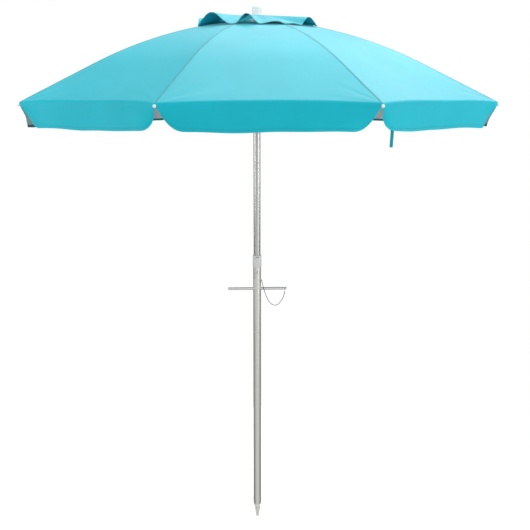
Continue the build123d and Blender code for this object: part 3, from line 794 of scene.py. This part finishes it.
def half_side(number, hand, shares, canopy):
    """Rows of points from the vent to the valance's hem, over half a side, about the rib along +X.

    hand is 1 for the half on the rib's left and -1 for its right. It gives the points, the distance
    from the seam and the distance from the free edge.
    """
    side = (number if hand > 0 else number - 1) % RIBS
    slope = math.atan(math.tan(SLOPE) / COS_HALF)
    from_rib = EDGE_REACH * SIN_HALF * shares
    signed = (EDGE_REACH * SIN_HALF - from_rib) * hand
    corner = np.clip(from_rib / canopy.corner_length, 0, 1)
    fall = float(canopy_height(EDGE_REACH)) - VALANCE_BOTTOM
    wander = side_wave(side, signed, 2.3, [(0.5, 0.002), (0.23, 0.001)])
    drop = CORNER_DROP + (fall - CORNER_DROP + wander) * (1 - (1 - corner) ** CORNER_POWER)
    radius = np.minimum(canopy.fold_radius, drop * 0.5)

    rows_down = np.concatenate([np.linspace(0, 0.9, TOP_ROWS - 12), np.linspace(0.91, 1, 12)])
    last_reach = EDGE_REACH + 0.004 - radius * (1 - math.sin(slope)) / COS_HALF
    reach = VENT_REACH + rows_down[:, None] * (last_reach - VENT_REACH)[None, :]
    share = shares[None, :] * np.ones_like(reach)
    near_edge = (reach / EDGE_REACH) ** 3
    out = reach * COS_HALF - canopy.hem_pull * (1 - (1 - share) ** 2) * near_edge
    across = reach * SIN_HALF * (1 - share)
    from_seam = reach * SIN_HALF * share
    height = canopy_height(out / COS_HALF)
    middle = np.sin(math.pi / 2 * share) ** 2
    height -= 0.005 * middle * (reach / EDGE_REACH) ** 2
    height += side_wave(side, across * hand, 0.7, [(0.62, 0.0012)]) * middle * near_edge
    pucker = np.sin(reach * 260 + 3 * np.sin(reach * 47 + side)) * np.exp(-from_seam / 0.012)
    height += 0.00025 * pucker * smooth_step(from_seam / 0.003)
    height += 0.0006 * (1 - smooth_step(from_seam / 0.006))
    to_corner = np.hypot(from_seam, EDGE_REACH - reach)
    bearing = np.arctan2(from_seam, EDGE_REACH - reach)
    folds = np.sin(9 * bearing + 1.7 * side * hand) + 0.5 * np.sin(17 * bearing + side)
    height += canopy.crease * folds * np.exp(-to_corner / 0.11) * smooth_step(to_corner / 0.05)

    edge_out, edge_across, edge_height = out[-1], across[-1], height[-1]
    bottom = float(canopy_height(EDGE_REACH)) - drop
    turn = slope + (math.pi / 2 - slope) * np.arange(1, FOLD_ROWS + 1)[:, None] / FOLD_ROWS
    fold_out = edge_out + radius * (np.sin(turn) - math.sin(slope))
    fold_height = edge_height - radius * (math.cos(slope) - np.cos(turn))
    left = np.maximum(fold_height[-1] - bottom, 0.0005)
    lean = 0.04 + 0.4 * np.exp(-((from_rib / 0.06) ** 2))
    flutter = 0.0016 * np.sin(from_rib * 95 + side) * np.exp(-from_rib / 0.13)
    part = np.arange(1, FALL_ROWS + 1)[:, None] / FALL_ROWS
    sway = side_wave(side, signed, 5.1, [(0.33, 0.0035), (0.16, 0.0012)]) + flutter
    hem = 0.0004 * smooth_step((part * left - left + 0.0115) / 0.0012)
    inward = lean * left * part * (0.5 + 0.5 * part)
    fall_out = fold_out[-1] - inward + sway * part * corner + hem
    out = np.concatenate([out, fold_out, fall_out])
    height = np.concatenate([height, fold_height, fold_height[-1] - left * part])
    rows = FOLD_ROWS + FALL_ROWS
    across = np.concatenate([across, np.ones((rows, 1)) * edge_across[None, :]])
    points, run = half_points(out, across, height, hand)
    to_hem = run[-1][None, :] - run
    seam = np.concatenate([from_seam, np.full((rows, len(shares)), 0.5)])
    return points, seam, np.minimum(to_hem, run + 0.001), run


def gore_stitch_lines(points, seam, hem):
    """Lines for the topstitching on each side of the seam and along the hem, just off the cloth."""
    middle = points.shape[1] // 2
    lift = np.array([0, 0, 0.0004])
    lines = []
    for hand in (-1, 1):
        line = []
        for row in range(1, TOP_ROWS):
            columns = range(middle + hand, middle + hand * 20, hand)
            before = middle
            for column in columns:
                if seam[row, column] >= SEAM_STITCH:
                    a, b = seam[row, before], seam[row, column]
                    part = (SEAM_STITCH - a) / (b - a)
                    line.append(points[row, before] * (1 - part) + points[row, column] * part + lift)
                    break
                before = column
        lines.append(line)
    for hand in (-1, 1):
        line = []
        for offset in range(5, middle + 1):
            column = middle + hand * offset
            strip = hem[TOP_ROWS:, column]
            row = TOP_ROWS + int(np.argmin(np.abs(strip - HEM_STITCH)))
            high = hem[row - 1, column]
            low = hem[row, column]
            part = np.clip((high - HEM_STITCH) / max(high - low, 1e-6), 0, 1)
            place = points[row - 1, column] * (1 - part) + points[row, column] * part
            outward = np.array([place[0], place[1], 0.0])
            line.append(place + outward / np.linalg.norm(outward) * 0.0006)
        lines.append(line)
    return lines


class UMBRELLA_OT_canopy(bpy.types.Operator):
    """Makes the canopy's eight gores, each about its rib, with valance, seams and stitching"""

    bl_idname = "umbrella.canopy"
    bl_label = "Canopy"

    def execute(self, context):
        canopy = context.scene.umbrella_canopy
        shares = column_shares(canopy.corner_length / (EDGE_REACH * SIN_HALF))
        stitches, cut = stitch_tree(), gore_cut(canopy)
        for number in range(RIBS):
            grid = both_halves(half_side, number, shares, canopy)
            cloth = sewn_cloth("gore", number, grid, 0.36, "inside", f"gore_{number}")
            stitch_and_gather("gore", number, cloth, gore_stitch_lines(*grid[:3]), stitches)
        return {"FINISHED"}


def gore_cut(canopy):
    """Width, length and flat area of one gore's cut: its top from the vent to the edge, and its valance.

    The valance's mean depth leaves out its rounded corners, whose curve is the one in half_side.
    """
    reach = np.linspace(VENT_REACH, EDGE_REACH, 200)
    along = np.hypot(np.diff(reach) * COS_HALF, np.diff(canopy_height(reach)))
    chord = (reach[1:] + reach[:-1]) * SIN_HALF
    half_width = EDGE_REACH * SIN_HALF
    fall = float(canopy_height(EDGE_REACH)) - VALANCE_BOTTOM
    rounded = canopy.corner_length / half_width / (CORNER_POWER + 1)
    mean_fall = CORNER_DROP + (fall - CORNER_DROP) * (1 - rounded)
    area = float((along * chord).sum()) + 2 * half_width * mean_fall
    return 2 * half_width, float(along.sum()) + fall, area


# ---- vent cap


def ruffle_height(side, share):
    """Height of the vent cap's hem above the canopy, at a share of the way along a side."""
    total = np.zeros_like(share)
    for start, peak, end, height, rising, falling in RUFFLES[side]:
        rise = np.sin(np.clip((share - start) / (peak - start), 0, 1) * math.pi / 2)
        fall = np.sin(np.clip((end - share) / (end - peak), 0, 1) * math.pi / 2)
        total += height * np.where(share < peak, rise**rising, fall**falling)
    return total


def cap_half(number, hand, shares, ruffle):
    """Rows of points from the middle to the hem, over half a side of the cap."""
    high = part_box("vent_cap")[1]
    hem_reach = high[0] / COS_HALF
    top = high[2]
    hem_height = canopy_height(hem_reach) + 0.0035
    inner = 0.022
    side = (number if hand > 0 else number - 1) % RIBS
    reach = np.linspace(inner, hem_reach, 30)[:, None] * np.ones_like(shares)[None, :]
    share = shares[None, :] * np.ones_like(reach)
    along = share / 2 if hand > 0 else 1 - share / 2
    outwards = (reach - inner) / (hem_reach - inner)
    lift = ruffle * ruffle_height(side, along)
    out = reach * COS_HALF - lift * 0.12 * outwards**2
    across = reach * SIN_HALF * (1 - share)
    flat = top - (top - hem_height) * (0.42 * outwards + 0.58 * outwards**2)
    height = flat - 0.006 * np.sin(math.pi * outwards) * np.sin(math.pi / 2 * share) ** 2
    height += lift * outwards**1.5
    points, run = half_points(out, across, height, hand)
    return points, reach * SIN_HALF * share, run[-1][None, :] - run, run


class UMBRELLA_OT_vent_cap(bpy.types.Operator):
    """Makes the ruffled cap over the vent, in a piece about each rib, and the disc under the finial"""

    bl_idname = "umbrella.vent_cap"
    bl_label = "Vent cap"

    def execute(self, context):
        canopy = context.scene.umbrella_canopy
        shares = np.linspace(0, 1, 33)
        width = 2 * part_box("vent_cap")[1][0] * TAN_HALF * CAP_FULLNESS
        stitches, cut = stitch_tree(), (width, CAP_CUT_LENGTH, 0.5 * width * CAP_CUT_LENGTH)
        for number in range(RIBS):
            grid = both_halves(cap_half, number, shares, canopy.ruffle)
            cloth = sewn_cloth("cap", number, grid, 0.1, "underside", "vent_cap")
            edge = grid[0][-2] * 0.9 + grid[0][-3] * 0.1 + np.array([0, 0, 0.0006])
            stitch_and_gather("cap", number, cloth, [edge], stitches)
        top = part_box("vent_cap")[1][2]
        disc = lathe(
            "cap_disc",
            [(0.0075, top - 0.0006), (0.0265, top - 0.0012), (0.027, top - 0.0006),
             (0.0262, top + 0.0003), (0.0075, top + 0.0003), (0.0075, top - 0.0006)],
        )
        fit(disc, "white", "top_pole")
        return {"FINISHED"}


# ---- strap, spike, chain and runner wire


class UMBRELLA_OT_strap(bpy.types.Operator):
    """Makes the closing strap that hangs inside the valance at the front right"""

    bl_idname = "umbrella.strap"
    bl_label = "Closing strap"

    def execute(self, context):
        low, high = (Vector(corner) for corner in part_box("closing_strap"))
        centre = (low + high) / 2
        facing = -STEP - math.radians(28)
        outward = Vector((math.cos(facing), math.sin(facing), 0))
        along = Vector((-outward.y, outward.x, 0))
        width = 0.012
        part = np.linspace(0, 1, 41)[:, None]
        share = np.linspace(-0.5, 0.5, 9)[None, :]
        across = share * width - 0.003 * part**2
        proud = 0.0016 * np.sin(part * 4.2) * part - 0.0012 * (2 * share) ** 2 * part
        points = grid_points(
            centre.x + along.x * across + outward.x * proud,
            centre.y + along.y * across + outward.y * proud,
            high.z + (low.z - high.z) * part,
        )
        seam = np.full(points.shape[:2], 0.5)
        hem = np.minimum.outer(np.linspace(0.126, 0.0, 41), np.ones(9))
        uv = np.stack(np.meshgrid(np.linspace(0, width, 9), np.linspace(0, 0.126, 41)), axis=-1)
        mesh = grid_mesh("strap_webbing", points, [("seam", seam), ("hem", hem)], uv)
        strap = new_piece(mesh.name, mesh)
        thicken(strap, 0.001, material("webbing"), material("webbing"), material("edge"))
        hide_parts("closing_strap")
        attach(strap, "rib_6")
        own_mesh(strap)
        return {"FINISHED"}


class UMBRELLA_OT_spike(bpy.types.Operator):
    """Makes the moulded screw spike with its helical blade"""

    bl_idname = "umbrella.spike"
    bl_label = "Sand spike"

    def execute(self, context):
        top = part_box("lower_tube")[0][2]
        pitch = 0.0092
        around, rows = 72, 220
        height = np.linspace(0, top, rows + 1)[:, None]
        share = np.linspace(0, 1, around + 1)[None, :]
        core = 0.0032 + 0.0068 * (height / (top * 0.85)) ** 0.8
        blade = 0.0045 * smooth_step(height / 0.004) * smooth_step((top * 0.84 - height) / 0.004)
        shoulder = smooth_step((height - top * 0.84) / 0.005)
        turn = (height / pitch - share) % 1.0
        ridge = np.maximum(0.0, 1 - abs(turn - 0.5) / 0.26) ** 0.75
        radius = core + blade * ridge * (0.7 + 0.3 * height / top)
        radius = radius * (1 - shoulder) + 0.0132 * shoulder
        angle = 2 * math.pi * share
        points = grid_points(radius * np.cos(angle), radius * np.sin(angle), height)
        mesh = grid_mesh("screw_spike", points)
        close_mesh(mesh, 1e-7)
        mesh.shade_smooth()
        mesh.set_sharp_from_angle(angle=math.radians(50))
        spike = new_piece("screw_spike", mesh)
        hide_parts("spike")
        fit(spike, "milky", "lower_pole")
        return {"FINISHED"}


def chain_line():
    """The chain's smooth line, from the NURBS spline that its route controls."""
    curve = bpy.data.curves.new("chain_route", "CURVE")
    curve.dimensions = "3D"
    curve.resolution_u = 24
    spline = curve.splines.new("NURBS")
    spline.points.add(len(CHAIN_ROUTE) - 1)
    for point, place in zip(spline.points, CHAIN_ROUTE):
        point.co = (*place, 1.0)
    spline.order_u = 3
    spline.use_endpoint_u = True
    route = bpy.data.objects.new("chain_route", curve)
    bpy.context.scene.collection.objects.link(route)
    bpy.context.view_layer.update()
    graph = bpy.context.evaluated_depsgraph_get()
    mesh = bpy.data.meshes.new_from_object(route.evaluated_get(graph))
    points = [tuple(v.co) for v in mesh.vertices]
    bpy.data.objects.remove(route)
    return points


class UMBRELLA_OT_chain(bpy.types.Operator):
    """Makes the bead chain that keeps the turning bar on the pole, and its end links"""

    bl_idname = "umbrella.chain"
    bl_label = "Keeper chain"

    def execute(self, context):
        points = chain_line()
        chain = line_piece("bead_chain", [points])
        run_tree(
            chain,
            bead_tree(),
            {"Pitch": 0.0031, "Wire": 0.0006, "Bead": CHAIN_DIAMETER / 2, "Material": material("nickel")},
        )
        chain.data.shade_smooth()
        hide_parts("chain")
        start, end = Vector(points[0]), Vector(points[-1])
        first = ring_piece(
            "chain_eye_link", start + Vector((-0.0008, 0.0004, 0.0014)), (0.6, 1, 0), 0.0022, 0.0005, 36, 8
        )
        last = ring_piece("chain_bar_link", end + Vector((0, 0, 0.0020)), (0.1, 1, 0), 0.0028, 0.0005, 36, 8)
        for link, body in ((first, "lower_pole"), (last, "turning_bar")):
            fit(link, "nickel", body)
        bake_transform(chain)
        return {"FINISHED"}


class UMBRELLA_OT_slot_shade_plate(bpy.types.Operator):
    """Makes a dark plate in the slot at the front of the pole lock's collar, painted shade that stands in
    for the slot's shadow
    """

    bl_idname = "umbrella.lock_window"
    # The dark plate is painted shade in the collar's slot, not a part of the lock.
    bl_label = "Lock window"

    def execute(self, context):
        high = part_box("collar")[1]
        reach, width, tall = 0.0176, 0.0118, 0.0034
        height = high[2] - 0.0075
        across = width * np.linspace(-0.5, 0.5, 17)[None, :]
        up = height + tall * np.linspace(-0.5, 0.5, 9)[:, None]
        points = grid_points(across, -np.sqrt(reach**2 - across**2), up)
        window = new_piece("slot_shade_plate", grid_mesh("slot_shade_plate", points, flip=True))
        window.data.materials.append(material("dark"))
        wall = window.modifiers.new("thickness", "SOLIDIFY")
        wall.thickness = 0.0008
        wall.offset = -1
        final_mesh(window)
        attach(window, "lower_pole")
        return {"FINISHED"}


class UMBRELLA_OT_runner_wire(bpy.types.Operator):
    """Makes the wire ring that the stretchers turn on at the runner"""

    bl_idname = "umbrella.runner_wire"
    bl_label = "Runner wire"

    def execute(self, context):
        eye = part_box("stretcher_0")[0][2] + 0.004
        wire = ring_piece("runner_wire", (0, 0, eye), (0, 0, 1), 0.025, 0.001)
        fit(wire, "steel", "runner")
        return {"FINISHED"}


class UMBRELLA_OT_hardware(bpy.types.Operator):
    """Gives the CAD frame's tubes, joints, ribs and mouldings their finishes"""

    bl_idname = "umbrella.hardware"
    bl_label = "Frame finishes"

    def execute(self, context):
        finishes = {
            "lower tube": ["lower_tube"],
            "upper tube": ["mid_tube", "top_tube"],
            "casting": ["tilt_yoke", "tilt_tongue", "snap_button"],
            "bar": ["t_bar", "t_bar_plugs"],
            "steel": ["tilt_pin", "spike_rivets", "chain_eye", "t_bar_ring", "crown_wire", "runner_catch"],
            "frosted": ["collar"],
            "white": ["finial", "crown", "runner"],
            "grey": ["tilt_button"],
            "rib": [],
        }
        for number in range(RIBS):
            finishes["rib"] += [f"rib_{number}", f"stretcher_{number}"]
            finishes["white"].append(f"rib_fittings_{number}")
        for label, nodes in finishes.items():
            for node in nodes:
                finish_node(node, label)
        return {"FINISHED"}


# ---- camera, floor and lights


def studio_world(scene, studio):
    """A white backdrop, with soft light that is bright in front of the object and dim behind it."""
    world = bpy.data.worlds.new("studio")
    world.use_nodes = True
    shader = Nodes(world.node_tree)
    backdrop = shader.nodes["Background"]
    backdrop.inputs["Color"].default_value = (1, 1, 1, 1)
    backdrop.inputs["Strength"].default_value = 1.0
    facing = shader.add("ShaderNodeTexCoord").outputs["Generated"]
    towards = shader.add("ShaderNodeSeparateXYZ", [(0, facing)])
    level = shader.band(towards.outputs["Y"], -1.0, 0.0, studio.front_glow, studio.back_glow)
    level.node.interpolation_type = "SMOOTHSTEP"
    glow = shader.add("ShaderNodeBackground", [("Color", (1, 1, 1, 1)), ("Strength", level)])
    seen = shader.add("ShaderNodeLightPath").outputs["Is Camera Ray"]
    either = shader.add("ShaderNodeMixShader", [(0, seen), (1, glow.outputs[0]), (2, backdrop.outputs[0])])
    shader.links.new(either.outputs[0], shader.nodes["World Output"].inputs[0])
    scene.world = world


def area_light(name, place, aim, size, power):
    light = bpy.data.lights.new(name, "AREA")
    light.shape = "RECTANGLE"
    light.size, light.size_y = size
    light.energy = power
    lamp = bpy.data.objects.new(name, light)
    bpy.context.scene.collection.objects.link(lamp)
    lamp.location = place
    lamp.rotation_euler = (Vector(aim) - Vector(place)).to_track_quat("-Z", "Y").to_euler()


class UMBRELLA_OT_stage(bpy.types.Operator):
    """Sets the camera, a plain pale floor, a white backdrop and soft studio lights"""

    bl_idname = "umbrella.stage"
    bl_label = "Stage"

    def execute(self, context):
        studio = context.scene.umbrella_studio
        camera_data = bpy.data.cameras.new("camera")
        camera_data.lens = studio.lens
        camera_data.sensor_width = 36
        camera = bpy.data.objects.new("camera", camera_data)
        context.scene.collection.objects.link(camera)
        bearing = studio.bearing
        camera.location = Vector((math.sin(bearing), -math.cos(bearing), 0)) * studio.distance
        camera.location.z = studio.height
        camera.rotation_euler = (math.pi / 2 - studio.pitch, 0, bearing - studio.aim)
        context.scene.camera = camera

        context.scene.view_settings.view_transform = "Standard"

        paint = Paint("pale_floor", Roughness=1.0, Emission_Strength=studio.floor_glow)
        paint.shader.inputs["Specular IOR Level"].default_value = 0.0
        grain = paint.noise(paint.place(), 2.0)
        tone = paint.mix(grain, (0.88, 0.88, 0.88, 1), (0.9, 0.9, 0.9, 1))
        paint.set("Base Color", tone)
        paint.set("Emission Color", tone)
        floor = lathe("floor", [(0, -0.02), (1.6, -0.02), (1.6, -0.002), (0, -0.002)], 128)
        floor.data.materials.append(paint.material)
        floor.visible_glossy = False

        studio_world(context.scene, studio)
        lights = (
            ("key", (2.3, 2.7, 4.1), (0.35, -0.2, 1.9), (2.0, 2.0), studio.key_power),
            ("top", (0.5, 1.7, 4.6), (0.0, -0.3, 1.9), (2.4, 2.0), studio.top_power),
            ("strip", (2.5, -3.2, 1.6), (0, 0, 1.3), (0.7, 3.0), studio.strip_power),
            ("overhead", (0, -0.4, 5.0), (0, 0, 1.9), (2.4, 2.4), studio.overhead_power),
            ("left", (-3.8, -1.0, 2.0), (0, 0, 1.7), (2.0, 2.0), studio.side_power),
            ("right", (3.8, -1.4, 2.0), (0, 0, 1.7), (2.0, 2.0), studio.side_power),
        )
        for light in lights:
            area_light(*light)
        return {"FINISHED"}


# ---- add-on


PIECES = (
    UMBRELLA_OT_stage,
    UMBRELLA_OT_chain,
    UMBRELLA_OT_canopy,
    UMBRELLA_OT_vent_cap,
    UMBRELLA_OT_strap,
    UMBRELLA_OT_spike,
    UMBRELLA_OT_slot_shade_plate,
    UMBRELLA_OT_runner_wire,
    UMBRELLA_OT_hardware,
)


class UMBRELLA_PT_panel(bpy.types.Panel):
    """Lists the umbrella's pieces and settings"""

    bl_label = "Beach Umbrella"
    bl_idname = "UMBRELLA_PT_panel"
    bl_space_type = "VIEW_3D"
    bl_region_type = "UI"
    bl_category = "Umbrella"

    def draw(self, context):
        for operator in PIECES:
            self.layout.operator(operator.bl_idname)
        for group in ("umbrella_canopy", "umbrella_hardware", "umbrella_studio"):
            settings = getattr(context.scene, group)
            box = self.layout.box()
            for name in settings.__annotations__:
                box.prop(settings, name)


SETTINGS = (
    ("umbrella_canopy", UmbrellaCanopySettings),
    ("umbrella_hardware", UmbrellaHardwareSettings),
    ("umbrella_studio", UmbrellaStudioSettings),
)


def register():
    for name, group in SETTINGS:
        bpy.utils.register_class(group)
        setattr(bpy.types.Scene, name, PointerProperty(type=group))
    for kind in (*PIECES, UMBRELLA_PT_panel):
        bpy.utils.register_class(kind)


def unregister():
    for kind in reversed((*PIECES, UMBRELLA_PT_panel)):
        bpy.utils.unregister_class(kind)
    for name, group in reversed(SETTINGS):
        delattr(bpy.types.Scene, name)
        bpy.utils.unregister_class(group)


def main():
    register()
    for operator in PIECES:
        group, name = operator.bl_idname.split(".")
        getattr(getattr(bpy.ops, group), name)()


if __name__ == "__main__":
    main()
